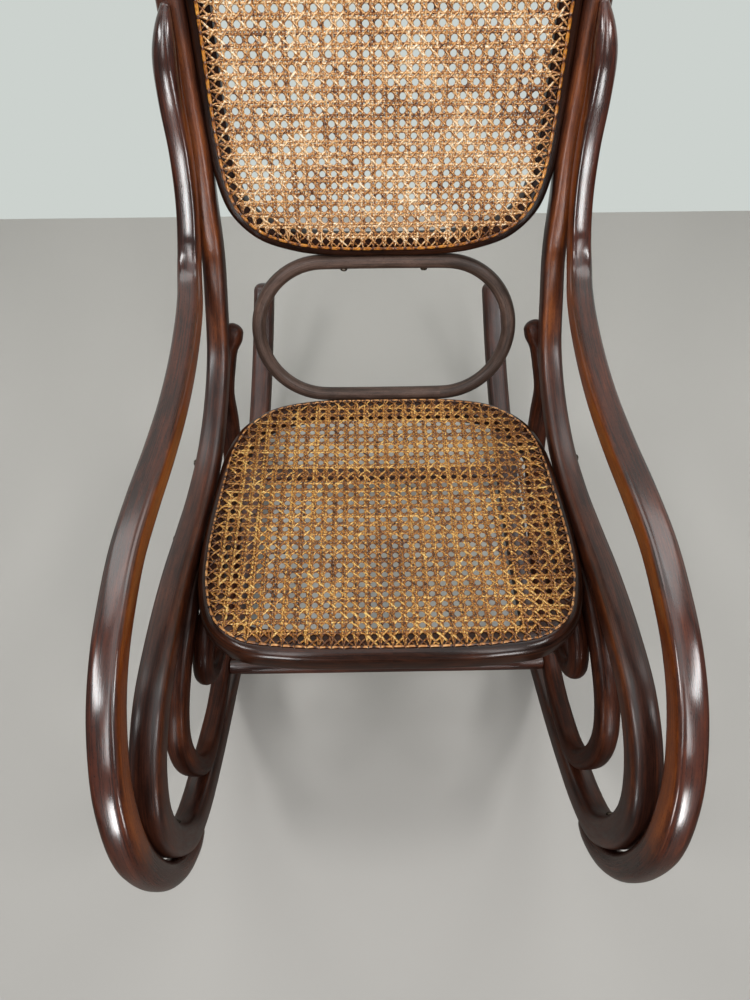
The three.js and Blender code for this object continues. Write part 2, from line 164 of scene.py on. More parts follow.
# A smooth line through named points, sampled about every `step`; extra columns follow along.
def smoothPath(points, step, closed=False):
    p = np.array(points, float)
    count = len(p)
    found = []
    for i in range(count if closed else count - 1):
        b, c = p[i], p[(i + 1) % count]
        a = p[(i - 1) % count] if closed or i > 0 else 2 * b - c
        d = p[(i + 2) % count] if closed or i < count - 2 else 2 * c - b
        g0, g1, g2 = (max(np.linalg.norm((v - u)[:3]) ** 0.5, 1e-3) for u, v in ((a, b), (b, c), (c, d)))
        m1 = ((b - a) / g0 - (c - a) / (g0 + g1) + (c - b) / g1) * g1
        m2 = ((c - b) / g1 - (d - b) / (g1 + g2) + (d - c) / g2) * g1
        pieces = max(1, math.ceil(np.linalg.norm((c - b)[:3]) / step))
        for k in range(pieces):
            u = k / pieces
            found.append(b + m1 * u + (3 * (c - b) - 2 * m1 - m2) * u ** 2 + (2 * (b - c) + m1 + m2) * u ** 3)
    if not closed:
        found.append(p[-1])
    return np.array(found)


def unit(v):
    return v / np.linalg.norm(v)


# Mesh from rings of points. `grain` holds, for every point, its place in the straight
# rod before bending: along, and two across. Ends are closed on a pole.
def ringMesh(name, rings, grain, wear, closed=False):
    count, sides = len(rings), len(rings[0])
    verts = [tuple(v) for ring in rings for v in ring]
    faces = []
    for r in range(count if closed else count - 1):
        n = (r + 1) % count
        for k in range(sides):
            m = (k + 1) % sides
            faces.append((r * sides + k, r * sides + m, n * sides + m, n * sides + k))
    places = [tuple(g) for ring in grain for g in ring]
    rubbed = [w for ring in wear for w in ring]
    if not closed:
        for r in (0, count - 1):
            pole = len(verts)
            verts.append(tuple(np.mean(rings[r], axis=0)))
            places.append(tuple(np.mean(grain[r], axis=0)))
            rubbed.append(float(np.mean(wear[r])))
            for k in range(sides):
                m = (k + 1) % sides
                a, b = r * sides + k, r * sides + m
                faces.append((b, a, pole) if r == 0 else (a, b, pole))
    mesh = bpy.data.meshes.new(name)
    mesh.from_pydata(verts, [], faces)
    # per face corner, so that a closed frame's grain has one clean joint
    length = grain[-1][0][0] + (grain[-1][0][0] - grain[-2][0][0]) if closed else 0.0
    layer = mesh.attributes.new("rodPlace", "FLOAT_VECTOR", "CORNER")
    corners = []
    for polygon in mesh.polygons:
        wraps = closed and any(v < sides for v in polygon.vertices) and any(
            v >= (count - 1) * sides for v in polygon.vertices)
        for v in polygon.vertices:
            place = list(places[v])
            if wraps and v < sides:
                place[0] = length
            corners.extend(place)
    layer.data.foreach_set("vector", corners)
    mesh.attributes.new("wear", "FLOAT", "POINT").data.foreach_set("value", rubbed)
    mesh.polygons.foreach_set("use_smooth", [True] * len(mesh.polygons))
    mesh.update()
    return mesh


# How far hands and clothes have rubbed through the stain, `part` of the way along a rod,
# where its surface faces `normal`. Bands are (from, to, facing, strength).
def rubbedAt(part, normal, bands):
    total, fade = 0.0, 0.06
    for start, stop, facing, strength in bands:
        inside = min(max(min(part - start, stop - part) / fade, 0.0), 1.0)
        turned = max(0.0, float(np.dot(normal, unit(np.array(facing, float)))))
        total += strength * inside * turned ** 3
    return min(total, 1.0)


# A bent rod along [x, y, z, diameter] points. `across` is a direction it never runs along.
# In `shape`, "power" is how square the section is along the rod (2 is round), "trim" how much a
# square section is drawn in, and "grainFrom" gives each rod its own stretch of grain.
def bentRod(name, points, across, shape):
    path = smoothPath(points, shape.get("step", 7.0))
    sides = shape.get("sides", 28)
    centres, radii = path[:, :3], path[:, 3] / 2
    tangents = np.gradient(centres, axis=0)
    tangents = np.array([unit(t) for t in tangents])
    runs = np.concatenate([[0], np.cumsum(np.linalg.norm(np.diff(centres, axis=0), axis=1))])
    stations = [(c, t, r, s) for c, t, r, s in zip(centres, tangents, radii, runs)]
    for end, at in enumerate((0, -1)):
        c, t, r, s = stations[at]
        out = -1 if end == 0 else 1
        # the end's rings, as (along, width) in radii
        if shape.get("ends", ("round", "round"))[end] == "round":
            turns = [math.radians(a) for a in (20, 38, 54, 68, 80, 87)]
            cap = [(0.82 * math.sin(a), math.cos(a)) for a in turns]
        else:
            cap = [(0.05, 0.985), (0.08, 0.94), (0.085, 0.6)]
        extra = [(c + t * out * r * along, t, r * width, s + out * r * along) for along, width in cap]
        stations = extra[::-1] + stations if end == 0 else stations + extra
    total = runs[-1]
    rings, grain, wear = [], [], []
    for c, t, r, s in stations:
        side = unit(across - t * np.dot(across, t))
        up = np.cross(t, side)
        power = shape.get("power", lambda part: 2.0)(min(max(s / total, 0), 1))
        # a squarer section keeps the round one's width at a slant
        trim = 1 - shape.get("trim", 0.04) * (power - 2)
        ring, places, rubs = [], [], []
        for k in range(sides):
            angle = 2 * math.pi * k / sides
            u, v = math.cos(angle), math.sin(angle)
            if power > 2:
                u = math.copysign(abs(u) ** (2 / power), u) * trim
                v = math.copysign(abs(v) ** (2 / power), v) * trim
            offset = side * (u * r) + up * (v * r)
            point = c + offset
            point[2] = max(point[2], shape.get("lowest", -math.inf))
            ring.append((point + np.array(routeToChair)) * mm)
            places.append(((s + shape.get("grainFrom", 0)) * mm, u * r * mm, v * r * mm))
            facing = unit(side * math.cos(angle) + up * math.sin(angle))
            rubs.append(rubbedAt(s / total, facing, shape.get("wear", ())))
        rings.append(ring)
        grain.append(places)
        wear.append(rubs)
    return ringMesh(name, rings, grain, wear)


def addPiece(name, mesh, material, slot, *nodes):
    piece = bpy.data.objects.new(name, mesh)
    bpy.context.scene.collection.objects.link(piece)
    if material:
        mesh.materials.append(material)
    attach(piece, "root")
    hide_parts(*nodes)


# The back panel's plane: its foot, and how far it leans back.
backPlane = {"foot": (0, 646.4, 538.2), "degrees": 20.44}
lean = math.radians(backPlane["degrees"])


def onBack(x, up, out):
    foot = backPlane["foot"]
    return [x, foot[1] + up * math.sin(lean) - out * math.cos(lean),
            foot[2] + up * math.cos(lean) + out * math.sin(lean)]


# The runner's arc on the floor, which stands closer to the middle towards its tail.
runnerArc = {"radius": 881, "centre": (421, 900), "wide": 254.6, "drawnIn": 40.6, "from": 243, "to": 938,
             "diameter": 38}


def onArc(y):
    arc = runnerArc
    x = arc["wide"] - (y - arc["from"]) / (arc["to"] - arc["from"]) * arc["drawnIn"]
    z = arc["centre"][1] - math.sqrt(arc["radius"] ** 2 - (y - arc["centre"][0]) ** 2)
    return [x, y, z, arc["diameter"]]


runnerUpright = {
    "route": [
        onArc(938), onArc(850), onArc(765), onArc(680), onArc(590), onArc(500), onArc(467), onArc(375),
        [248.5, 339, 24.2, 38], [249.6, 298.5, 34.5, 38], [251.6, 238.4, 60.4, 38], [251, 173.5, 101.2, 38],
        [249, 112.2, 150.2, 38], [246.8, 58.9, 198.8, 37],
        [245, 26, 246, 36], [242.6, 16, 300, 35.5], [240, 17, 352, 34.5], [237.9, 28.3, 398.7, 34],
        [236, 48, 431, 33.5], [235.2, 82, 455.5, 33], [234.8, 130.3, 467, 33], [235.5, 192, 456, 33],
        [237, 268, 429.5, 32.5], [233.8, 330, 411, 32], [229.6, 385, 400, 31], [223.6, 452, 400, 30],
        [218, 519.6, 418.2, 29], [214, 576.4, 448.9, 28.5], [211, 618, 495, 28],
        onBack(209.5, 2, -8) + [28], onBack(208.5, 70, -8) + [30], onBack(207.5, 115, -8) + [31],
        onBack(208.5, 190, -8) + [30], onBack(209.5, 332, -8) + [28]],
    "wood": rodBeech, "ends": ("round", "flat"), "grainFrom": 0, "sides": 32, "lowest": 2.6, "trim": 0.02,
    # planed squarish with soft edges, most of all at the tails; round at the splice
    "power": lambda part: np.interp(part, [0, 0.2, 0.35, 0.8, 0.9], [3.8, 3, 3.8, 3.8, 3.2]),
    "wear": [(0.68, 1.0, (-0.25, -1, 0.3), 0.85), (0.5, 0.7, (-0.9, -0.1, 0.4), 0.5),
             (0.3, 0.5, (-0.8, 0.2, 0.5), 0.3)]}

armBow = {
    "route": [
        [210.8, 723, 778.4, 11], [213.8, 713.8, 766, 19], [216.2, 706.6, 753, 24.5], [218.2, 700, 739, 26.5],
        [219.9, 689.6, 707, 27], [219.2, 671.6, 662.7, 27], [223, 655.4, 612.6, 27.5],
        [229, 637, 570, 28.5], [231, 612, 549, 29.5], [228.5, 573.4, 540, 30.5], [228.7, 505, 534.4, 31],
        [231.7, 435.3, 535.4, 31.5], [237.5, 367.7, 541, 32.3], [244.7, 307.3, 546.8, 33],
        [250.3, 252.6, 550, 33], [252.1, 203.6, 549.6, 33], [252.7, 160, 546, 33],
        [252, 117.3, 536, 33], [250.6, 83, 521, 33], [249.2, 51, 499, 33], [247.2, 22, 467, 33],
        [246, 3, 434, 33], [245.5, -8.5, 398, 32], [245.2, -16.6, 350, 31], [245, -17, 300, 29.5],
        [246, -6, 246, 29], [246.8, 14.5, 208.2, 28.5], [247, 27, 193, 25]],
    "wood": armBeech, "grainFrom": 4000, "sides": 36, "trim": 0.05,
    "power": lambda part: np.interp(part, [0, 0.04, 0.1, 0.7, 0.8, 0.88, 1], [2, 2.6, 4.4, 4, 2.9, 2.3, 2.1]),
    "wear": [(0.03, 0.34, (-1, -0.1, 0.1), 0.95), (0.28, 0.82, (-1, 0, 0.1), 1.0),
             (0.5, 0.98, (0.2, -0.6, 0.5), 0.15)]}

scroll = {
    "route": [
        [198.6, 613, 445.5, 27], [201.5, 607.5, 441, 30], [207, 598.5, 431.5, 27], [211, 578, 417, 26],
        [214, 549, 399.5, 27], [214, 533, 362, 27],
        [218, 512, 300, 27], [226, 468, 232, 27], [235, 405, 176, 27], [242, 328, 138, 27],
        [245, 243, 126, 27], [245, 196, 138, 27],
        [244.5, 160, 157, 27], [243, 124, 185, 27], [241.8, 104, 217, 27], [241, 98, 257, 27],
        [240.4, 100, 300, 27], [240, 112.4, 334.3, 27], [238.5, 130.3, 358, 27], [235.5, 158.2, 381, 27],
        [231.5, 208.8, 399.8, 26.5], [229, 236, 403.5, 26], [228.6, 260, 401.5, 25.5],
        [226, 290, 395.5, 25], [222, 318, 387, 24], [220.5, 328, 384, 23]],
    "wood": scrollBeech, "grainFrom": 8000, "power": lambda part: 3.0,
    "wear": [(0.5, 1.0, (-0.5, -0.4, 0.6), 0.35)]}

seatCurl = {
    "route": [
        [203.5, 262, 389.5, 21], [207.5, 236, 392, 23], [211.5, 206, 383, 23], [215, 187, 354, 23],
        [216, 194, 324, 23], [215, 224, 307, 23], [212, 262, 314, 23], [208, 302, 340, 23],
        [202, 334, 374, 21]],
    "wood": scrollBeech, "grainFrom": 11000, "sides": 24, "step": 6.0}

bothSides = (("left", -1), ("right", 1))
acrossX = np.array([1.0, 0.0, 0.0])
for sideName, side in bothSides:
    for nodeName, part in (("runner_upright", runnerUpright), ("arm_bow", armBow),
                           ("scroll", scroll), ("seat_curl", seatCurl)):
        route = [[side * x, y, z, d] for x, y, z, d in part["route"]]
        shape = dict(part, grainFrom=part["grainFrom"] + (500 if side > 0 else 0), wear=[
            (start, stop, (side * facing[0], facing[1], facing[2]), strength)
            for start, stop, facing, strength in part.get("wear", ())])
        mesh = bentRod(f"{sideName}_{nodeName}_rod", route, acrossX, shape)
        addPiece(f"{sideName}_{nodeName}_rod", mesh, part["wood"], "dark_beech", f"{sideName}_{nodeName}")
print("side rods bent")

rearPlace = onArc(624)
stretchers = {
    "front_stretcher": {"half": 231.1, "y": 250, "z": 126, "diameter": 24},
    "rear_stretcher": {"half": rearPlace[0] - 20.2, "y": 624, "z": rearPlace[2], "diameter": 26}}
for nodeName, part in stretchers.items():
    swell = [(-1, 0.92), (-0.93, 0.97), (-0.5, 1), (0, 1), (0.5, 1), (0.93, 0.97), (1, 0.92)]
    route = [[part["half"] * k, part["y"], part["z"], part["diameter"] * d] for k, d in swell]
    mesh = bentRod(f"{nodeName}_bar", route, np.array([0.0, 0.0, 1.0]),
                   {"ends": ("flat", "flat"), "grainFrom": 14000 + part["y"], "step": 12.0, "sides": 24})
    addPiece(f"{nodeName}_bar", mesh, rodBeech, "dark_beech", nodeName)

topBow = {
    "diameter": 28,
    "half": [[209.5, 332.4], [209.5, 385], [203, 424], [180, 454], [142, 470], [90, 475.5]],
    "ends": ("flat", "flat"), "grainFrom": 16000, "sides": 32, "trim": 0.02, "power": lambda part: 3.2}
bowLine = topBow["half"] + [[0, 477]] + [[-x, up] for x, up in reversed(topBow["half"])]
backNormal = np.array(onBack(0, 0, 1)) - np.array(onBack(0, 0, 0))
bowRoute = [onBack(x, up, -8) + [topBow["diameter"]] for x, up in bowLine]
mesh = bentRod("top_bow_rod", bowRoute, backNormal, topBow)
addPiece("top_bow_rod", mesh, rodBeech, "dark_beech", "top_bow")
print("stretchers and top bow made")


# Corners [inward, height, radius] of a frame's section, rounded off.
def roundedSection(corners, steps=5):
    found = []
    count = len(corners)
    for i, (x, y, r) in enumerate(corners):
        here = np.array([x, y], float)
        before = unit(np.array(corners[i - 1][:2], float) - here)
        after = unit(np.array(corners[(i + 1) % count][:2], float) - here)
        for k in range(steps + 1):
            a = math.radians(90 * k / steps)
            found.append(here + before * r * (1 - math.sin(a)) + after * r * (1 - math.cos(a)))
    return found


def insetLine(outline, distance):
    ahead, behind = np.roll(outline, -1, axis=0), np.roll(outline, 1, axis=0)
    along = ahead - behind
    along /= np.linalg.norm(along, axis=1)[:, None]
    return outline + np.stack([-along[:, 1], along[:, 0]], axis=1) * distance


def planeMatrix(origin, tilt):
    return Matrix.Translation((Vector(origin) + routeToChair) * mm) @ Matrix.Rotation(tilt, 4, "X")


# A closed frame: a section swept round an outline that lies in its own plane.
def closedFrame(name, outline, section, plane, grainFrom):
    rings, grain, wear = [], [], []
    run = 0.0
    lines = [insetLine(outline, depth) for depth, height in section]
    for i, point in enumerate(outline):
        if i:
            run += float(np.linalg.norm(point - outline[i - 1]))
        ring, places, rubs = [], [], []
        for line, (depth, height) in zip(lines, section):
            spot = plane @ Vector((line[i][0] * mm, line[i][1] * mm, height * mm))
            ring.append(tuple(spot))
            places.append(((run + grainFrom) * mm, depth * mm, height * mm))
            rubs.append(0.0)
        rings.append(ring[::-1])
        grain.append(places[::-1])
        wear.append(rubs)
    return ringMesh(name, rings, grain, wear, closed=True)


def mirroredOutline(half, step):
    points = half + [[-x, y] for x, y in reversed(half[1:-1])]
    return smoothPath([[x, y, 0] for x, y in points], step, closed=True)[:, :2]


seat = {
    "outline": [[0, -5.5], [110, -3], [165, 7], [198, 34], [213, 78], [217, 125], [213, 210], [205, 285],
                [188, 328], [152, 361], [95, 376], [0, 379]],
    "section": [[0, 0, 12], [31, 0, 3], [31, -22, 9], [0, -34, 9]], "wood": seatBeech,
    "plane": planeMatrix((0, 181, 450), math.radians(-10.33)),
    "binder": 12.0, "grainFrom": 18000}
back = {
    "outline": [[0, 0], [60, 1], [108, 7], [152, 23], [180, 52], [191, 88], [194.5, 135], [194.5, 230],
                [194.5, 325], [191, 375], [178, 416], [146, 446], [100, 457], [50, 460], [0, 460]],
    "section": [[0, 0, 4.5], [24, 0, 2], [24, -22, 2], [0, -22, 5]], "wood": rimBeech,
    "plane": planeMatrix(backPlane["foot"], math.radians(90 - backPlane["degrees"])),
    "binder": 11.5, "grainFrom": 20000}
for nodeName, part in (("seat_frame", seat), ("back_frame", back)):
    part["line"] = mirroredOutline(part["outline"], 6.0)
    mesh = closedFrame(f"{nodeName}_rim", part["line"], roundedSection(part["section"]), part["plane"],
                       part["grainFrom"])
    addPiece(f"{nodeName}_rim", mesh, part["wood"], "dark_beech", nodeName)

hoop = {"foot": (0, 560.8, 378), "head": (0, 653.3, 525.2), "straight": 76, "diameter": 18}
rise = Vector(hoop["head"]) - Vector(hoop["foot"])
bend = rise.length / 2
hoopLine = []
for turn in (-90, 90):
    centre = math.copysign(hoop["straight"], -turn)
    for k in range(25):
        a = math.radians(turn + 180 / 24 * k)
        hoopLine.append([centre + bend * math.cos(a), bend + bend * math.sin(a)])
hoopLine = smoothPath([[x, y, 0] for x, y in hoopLine], 6.0, closed=True)[:, :2]
ringSection = [[hoop["diameter"] / 2 * math.cos(a), hoop["diameter"] / 2 * math.sin(a)]
               for a in [-2 * math.pi * k / 24 for k in range(24)]]
hoopPlane = planeMatrix(hoop["foot"], math.atan2(rise.z, rise.y))
mesh = closedFrame("oval_hoop_ring", hoopLine, ringSection, hoopPlane, 22000)
addPiece("oval_hoop_ring", mesh, hoopBeech, "hoop_beech", "oval_hoop")
print("frames and hoop made")


# Rattan cane: the glossy outer skin of the vine split into strands 2.7 mm wide, straw to
# orange-brown with age. Each strand has its own tone, darker nodes and stains along it.
def caneMaterial(name, look):
    material, add = newMaterial(name)
    strand = add("ShaderNodeAttribute", {"attribute_name": "strandPlace"}).outputs["Vector"]
    parts = add("ShaderNodeSeparateXYZ", inputs=[strand])
    body = add("ShaderNodeTexCoord").outputs["Object"]
    # tone changes every 20 mm along a strand, and from strand to strand
    along = stretchedNoise(add, strand, (48.0, 61.0, 0.0), 3.0)
    # split fibres, light and dark: really 0.2 mm wide, drawn 1 mm by 2.5 mm so that they show
    width = add("ShaderNodeAttribute", {"attribute_name": "strandAcross"}).outputs["Fac"]
    fibrePlace = add("ShaderNodeCombineXYZ", inputs=[parts.outputs["X"], width, parts.outputs["Y"]])
    fibres = stretchedNoise(add, fibrePlace, (400.0, 2.6, 61.0), 2.0)
    # stains 60 mm across, over all the strands
    stains = add("ShaderNodeTexNoise", inputs={
        "Vector": body, "Scale": 15.0, "Detail": 4.0, "Roughness": 0.6})
    own = add("ShaderNodeMath", "MULTIPLY_ADD", [parts.outputs["Y"], look["strandSpread"], look["base"]])
    mixed = add("ShaderNodeMath", "MULTIPLY_ADD", [along, look["alongSpread"], own])
    stained = add("ShaderNodeMath", "MULTIPLY_ADD", [stains, look["stainSpread"], mixed])
    # painted shade: the binding cane darkens where each tie pulls it down, and the ties darken, standing in
    # for the shadows there; strands darken towards the rim
    tieShadedAndRimDarkened = add("ShaderNodeMath", "MULTIPLY_ADD", [parts.outputs["Z"], -look["tieShade"], stained])
    tone = add("ShaderNodeMath", "MULTIPLY_ADD", [fibres, look["fibreSpread"], tieShadedAndRimDarkened])
    colour = add("ShaderNodeValToRGB", {"stops": look["tones"]}, [tone])
    shader = add("ShaderNodeBsdfPrincipled", inputs={
        "Base Color": colour, "Roughness": look["roughness"], "Coat Weight": look["coat"],
        "Coat Roughness": 0.12})
    add("ShaderNodeOutputMaterial", inputs={"Surface": shader})
    return material


# The seat's cane is toned darker than the back's: partly browning from wear, partly painted shade on the seat
# and painted light on the back, which faces the front lamps.
seatStrand = caneMaterial("rattan cane, browned, with painted shade", {
    "tones": [(0.08, "#1c0b04"), (0.3, "#673512"), (0.5, "#9f6226"), (0.7, "#cd8f3e"), (0.95, "#f8d282")],
    "strandSpread": 0.45, "base": -1.6, "alongSpread": 1.0, "stainSpread": 0.35, "fibreSpread": 2.4,
    "tieShade": 0.22, "roughness": 0.34, "coat": 0.3})
backStrand = caneMaterial("rattan cane, straw, with painted light", {
    "tones": [(0.08, "#331508"), (0.3, "#8e5323"), (0.5, "#c88a4c"), (0.7, "#e6b779"), (0.95, "#fdeed2")],
    "strandSpread": 0.4, "base": -1.75, "alongSpread": 1.0, "stainSpread": 0.7, "fibreSpread": 2.4,
    "tieShade": 0.22, "roughness": 0.34, "coat": 0.3})
seatBinder = caneMaterial("rattan binding cane", {
    "tones": [(0.1, "#1c0c05"), (0.3, "#4a240e"), (0.5, "#a66a30"), (0.65, "#c98c4e"), (0.9, "#ecc48c")],
    "strandSpread": 0.2, "base": -0.62, "alongSpread": 0.6, "stainSpread": 0.5, "fibreSpread": 1.1,
    "tieShade": 0.42, "roughness": 0.3, "coat": 0.35})
backBinder = caneMaterial("rattan binding cane, golden", {
    "tones": [(0.15, "#35170a"), (0.35, "#7d4413"), (0.55, "#bd7720"), (0.85, "#e6ad4e")],
    "strandSpread": 0.2, "base": -0.72, "alongSpread": 0.6, "stainSpread": 0.5, "fibreSpread": 1.1,
    "tieShade": 0.3, "roughness": 0.28, "coat": 0.4})


# Named inputs for a node tree: returns the tree, what adds a node to it, its inputs' sockets and
# their identifiers.
def newTree(name, sizes):
    tree = bpy.data.node_groups.new(name, "GeometryNodeTree")
    tree.interface.new_socket("Geometry", in_out="INPUT", socket_type="NodeSocketGeometry")
    tree.interface.new_socket("Geometry", in_out="OUTPUT", socket_type="NodeSocketGeometry")
    kinds = {int: "NodeSocketInt", float: "NodeSocketFloat", tuple: "NodeSocketVector"}
    names = {}
    for label, value in sizes.items():
        socket = tree.interface.new_socket(label, in_out="INPUT", socket_type=kinds[type(value)])
        socket.default_value = value
        names[label] = socket.identifier
    return tree, partial(addNode, tree), tree.nodes.new("NodeGroupInput").outputs, names


def finishTree(add, geometry, material):
    real = add("GeometryNodeRealizeInstances", inputs=[geometry])
    smooth = add("GeometryNodeSetShadeSmooth", inputs=[real])
    painted = add("GeometryNodeSetMaterial", inputs={0: smooth, "Material": material})
    add("NodeGroupOutput", inputs=[painted])


# A flat strand along a curve, whose mesh keeps how far across it each point is.
def strandAlong(add, curve, sides, width, thickness, finish):
    ring = add("GeometryNodeCurvePrimitiveCircle", inputs={"Resolution": sides, "Radius": 0.5})
    place = add("ShaderNodeSeparateXYZ", inputs=[add("GeometryNodeInputPosition")])
    section = add("GeometryNodeStoreNamedAttribute", inputs={
        "Geometry": ring, "Name": "strandAcross", "Value": place.outputs["X"]})
    size = add("ShaderNodeCombineXYZ", inputs=[width, thickness, 1.0])
    flat = add("GeometryNodeTransform", inputs={0: section, "Scale": size})
    return add("GeometryNodeCurveToMesh", inputs={"Curve": curve, "Profile Curve": flat, **finish})


# Runs a tree on a base mesh and returns the result as a plain mesh, moved by `matrix`.
def bakeTree(name, base, tree, names, sizes, matrix):
    maker = bpy.data.objects.new(name + "_maker", base)
    bpy.context.scene.collection.objects.link(maker)
    modifier = maker.modifiers.new("shape", "NODES")
    modifier.node_group = tree
    for label, value in sizes.items():
        modifier[names[label]] = value
    graph = bpy.context.evaluated_depsgraph_get()
    mesh = bpy.data.meshes.new_from_object(maker.evaluated_get(graph), depsgraph=graph)
    mesh.name = name
    maker.modifiers.remove(modifier)
    bpy.data.objects.remove(maker)
    mesh.transform(matrix)
    return mesh


# One family of strands: parallel lines at `Direction`, lifted over and under the others.
pitch = 0.0127  # the cane's holes, half an inch apart
strandSizes = {
    "Direction": 0.0, "Lines": 78, "Per Line": 2, "Spacing": pitch, "Pitch": pitch, "Pair Spacing": 0.0035,
    "Step": pitch / 6, "Steps": 241, "Pair Lift": 0.0, "Cross Lift": 0.0, "Height": 0.00135,
    "Shift": (0.0, 0.0, 0.0), "Width": 0.0027, "Thickness": 0.0008, "Wander": 0.0007, "Seed": 3, "Sag": 0.0,
    "Half Size": (0.2, 0.2, 0.0), "Clear Edge": 0.0115, "Beside": 0.38, "Thinning": -0.5}


def strandTree(material):
    tree, add, given, names = newTree("woven strands", strandSizes)
    index = add("GeometryNodeInputIndex")
    perLine = given["Per Line"]
    lineNumber = add("ShaderNodeMath", "FLOOR", [add("ShaderNodeMath", "DIVIDE", [index, perLine])])
    side = add("ShaderNodeMath", "SUBTRACT", [
        add("ShaderNodeMath", "MULTIPLY", [add("ShaderNodeMath", "MODULO", [index, perLine]), 2.0]),
        add("ShaderNodeMath", "SUBTRACT", [perLine, 1.0])])
    middle = add("ShaderNodeMath", "DIVIDE", [
        add("ShaderNodeMath", "SUBTRACT", [add("ShaderNodeMath", "DIVIDE", [given["Lines"], perLine]), 1.0]),
        2.0])
    across = add("ShaderNodeMath", "ADD", [
        add("ShaderNodeMath", "MULTIPLY", [
            add("ShaderNodeMath", "SUBTRACT", [lineNumber, middle]), given["Spacing"]]),
        add("ShaderNodeMath", "MULTIPLY", [
            side, add("ShaderNodeMath", "DIVIDE", [given["Pair Spacing"], 2.0])])])
    cosine = add("ShaderNodeMath", "COSINE", [given["Direction"]])
    sine = add("ShaderNodeMath", "SINE", [given["Direction"]])
    heading = add("ShaderNodeCombineXYZ", inputs=[cosine, sine])
    crossways = add("ShaderNodeCombineXYZ", inputs=[add("ShaderNodeMath", "MULTIPLY", [sine, -1.0]), cosine])
    spot = add("ShaderNodeVectorMath", "SCALE", {0: crossways, "Scale": across})
    starts = add("GeometryNodePoints", inputs={"Count": given["Lines"], "Position": spot})
    chance = add("FunctionNodeRandomValue", inputs={"Seed": given["Seed"]})
    named = add("GeometryNodeStoreNamedAttribute", inputs={
        "Geometry": starts, "Name": "strandTone", "Value": chance.outputs[1]})
    sided = add("GeometryNodeStoreNamedAttribute", inputs={
        "Geometry": named, "Name": "pairSide", "Value": side})
    # one straight strand, then a copy on every line
    reach = add("ShaderNodeMath", "MULTIPLY", [
        add("ShaderNodeMath", "SUBTRACT", [given["Steps"], 1.0]),
        add("ShaderNodeMath", "MULTIPLY", [given["Step"], -0.5])])
    line = add("GeometryNodeMeshLine", inputs={
        "Count": given["Steps"], "Start Location": add("ShaderNodeCombineXYZ", inputs=[reach]),
        "Offset": add("ShaderNodeCombineXYZ", inputs=[given["Step"]])})
    turned = add("FunctionNodeAxisAngleToRotation", inputs={
        "Axis": (0.0, 0.0, 1.0), "Angle": given["Direction"]})
    copies = add("GeometryNodeInstanceOnPoints", inputs={
        "Points": sided, "Instance": line, "Rotation": turned})
    real = add("GeometryNodeRealizeInstances", inputs=[copies])
    # lift: pairs pass over one strand of a crossing pair and under the other; diagonals
    # pass over whole pairs one way and under them the other way
    position = add("GeometryNodeInputPosition")
    x = add("ShaderNodeSeparateXYZ", inputs=[position])
    along = add("ShaderNodeVectorMath", "DOT_PRODUCT", [position, heading]).outputs["Value"]
    half = add("ShaderNodeMath", "DIVIDE", [given["Pitch"], 2.0])
    wrapped = add("ShaderNodeMath", "WRAP", [along, half, add("ShaderNodeMath", "MULTIPLY", [half, -1.0])])
    swing = add("ShaderNodeClamp", inputs={
        "Value": add("ShaderNodeMath", "DIVIDE", [
            wrapped, add("ShaderNodeMath", "DIVIDE", [given["Pitch"], 3.0])]), "Min": -1.0, "Max": 1.0})
    pairSide = add("GeometryNodeInputNamedAttribute", inputs={"Name": "pairSide"})
    pairLift = add("ShaderNodeMath", "MULTIPLY", [
        add("ShaderNodeMath", "MULTIPLY", [
            add("ShaderNodeMath", "SINE", [add("ShaderNodeMath", "MULTIPLY", [swing, math.pi])]),
            add("ShaderNodeMath", "MULTIPLY", [pairSide, -1.0])]), given["Pair Lift"]])
    wave = add("ShaderNodeMath", "MULTIPLY", [
        add("ShaderNodeMath", "COSINE", [
            add("ShaderNodeMath", "MULTIPLY", [
                add("ShaderNodeMath", "DIVIDE", [x, given["Pitch"]]), 2 * math.pi])]), 1.6])
    crest = add("ShaderNodeClamp", inputs={"Value": wave, "Min": -1.0, "Max": 1.0})
    crossLift = add("ShaderNodeMath", "MULTIPLY", [crest, given["Cross Lift"]])
    # a sagging panel's bowl: 1 in its middle, 0 at its edge
    share = add("ShaderNodeVectorMath", "DIVIDE", [position, given["Half Size"]])
    squared = add("ShaderNodeVectorMath", "MULTIPLY", [share, share])
    rest = add("ShaderNodeVectorMath", "SUBTRACT", [(1.0, 1.0, 1.0), squared])
    bowl = add("ShaderNodeSeparateXYZ", inputs=[
        add("ShaderNodeVectorMath", "MAXIMUM", [rest, (0.0, 0.0, 0.0)])])
    sag = add("ShaderNodeMath", "MULTIPLY", [
        add("ShaderNodeMath", "MULTIPLY", [bowl.outputs["X"], bowl.outputs["Y"]]), given["Sag"]])
    lift = add("ShaderNodeMath", "SUBTRACT", [
        add("ShaderNodeMath", "ADD", [add("ShaderNodeMath", "ADD", [pairLift, crossLift]), given["Height"]]),
        sag])
